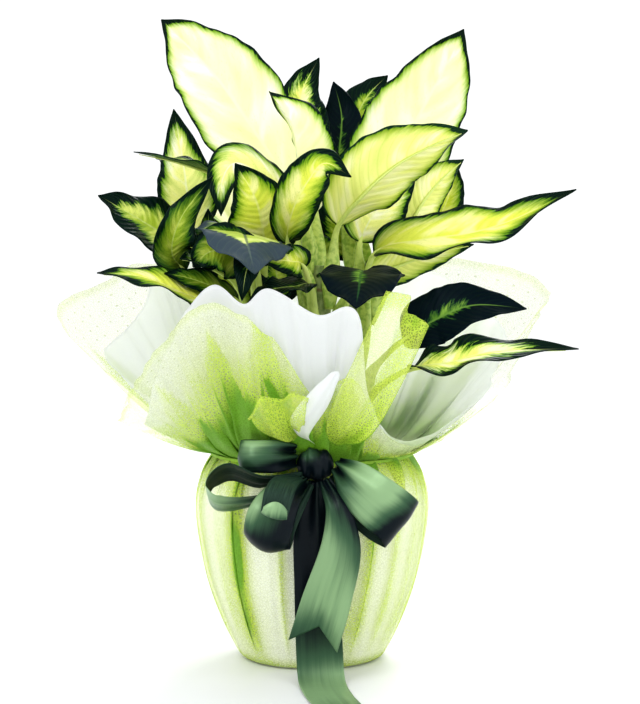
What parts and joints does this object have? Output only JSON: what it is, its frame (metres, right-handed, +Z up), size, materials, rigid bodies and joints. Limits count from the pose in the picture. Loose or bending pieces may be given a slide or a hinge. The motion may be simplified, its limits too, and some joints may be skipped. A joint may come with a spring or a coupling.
{
  "type": "potted dieffenbachia",
  "caption": "Variegated dieffenbachia in a plastic pot, wrapped in white paper and green netting that are tied over the rim, with a satin bow in front.",
  "frame": {"origin": "middle of the flat underside of the wrapped pot", "axes": "+Z up along the pot, -Y the front with the bow, +X to the viewer's right"},
  "size_m": [0.4304, 0.408, 0.5463],
  "materials": {
    "leaf_cream": "living leaf, cream centre with a dark green margin, half gloss",
    "leaf_green": "living leaf, yellow-green with a dark green margin, half gloss",
    "leaf_dark": "living leaf, deep green with a pale feathered midrib, glossy",
    "cane": "green ringed stem",
    "pot_plastic": "moulded nursery pot",
    "soil": "peat soil",
    "paper": "white nonwoven wrapping paper",
    "net": "lime green flocked netting with small dots",
    "ribbon": "dark green satin ribbon"
  },
  "bodies": {
    "root": {"pot": "pot_plastic", "soil": "soil", "cane_left": "cane", "cane_centre": "cane", "cane_right": "cane", "leaf_top_left": "leaf_cream", "leaf_top_half": "leaf_cream", "leaf_top_middle": "leaf_dark", "leaf_top_dark": "leaf_dark", "leaf_top_back": "leaf_dark", "leaf_top_right": "leaf_cream", "leaf_right_front": "leaf_green", "leaf_right_inner": "leaf_cream", "leaf_right_back": "leaf_green", "leaf_right_outer": "leaf_green", "leaf_right_long": "leaf_cream", "leaf_right_low": "leaf_green", "leaf_front_dark": "leaf_dark", "leaf_right_dark": "leaf_dark", "leaf_right_lowest": "leaf_green", "leaf_left_dark": "leaf_dark", "leaf_left_upright": "leaf_cream", "leaf_left_sliver": "leaf_green", "leaf_left_arch": "leaf_cream", "leaf_left_front": "leaf_cream", "leaf_centre_twist": "leaf_dark", "leaf_front_blue": "leaf_dark", "leaf_left_curl": "leaf_green", "leaf_left_low": "leaf_green", "leaf_left_under": "leaf_dark", "leaf_left_pale": "leaf_green", "leaf_front_tip": "leaf_dark", "leaf_centre_low": "leaf_green", "leaf_left_bud": "leaf_green", "leaf_back_left": "leaf_cream", "leaf_back_middle": "leaf_cream", "leaf_back_right": "leaf_cream", "leaf_back_low_left": "leaf_green", "leaf_back_low_right": "leaf_green", "paper_wrap": "paper", "net_wrap": "net", "neck_tie": "net", "ribbon_knot": "ribbon", "ribbon_loop_upper_left": "ribbon", "ribbon_loop_left": "ribbon", "ribbon_loop_lower_left": "ribbon", "ribbon_loop_right": "ribbon", "ribbon_tail_front": "ribbon", "ribbon_tail_long": "ribbon", "net_fold": "net", "net_ruffle": "net"}
  },
  "joints": []
}
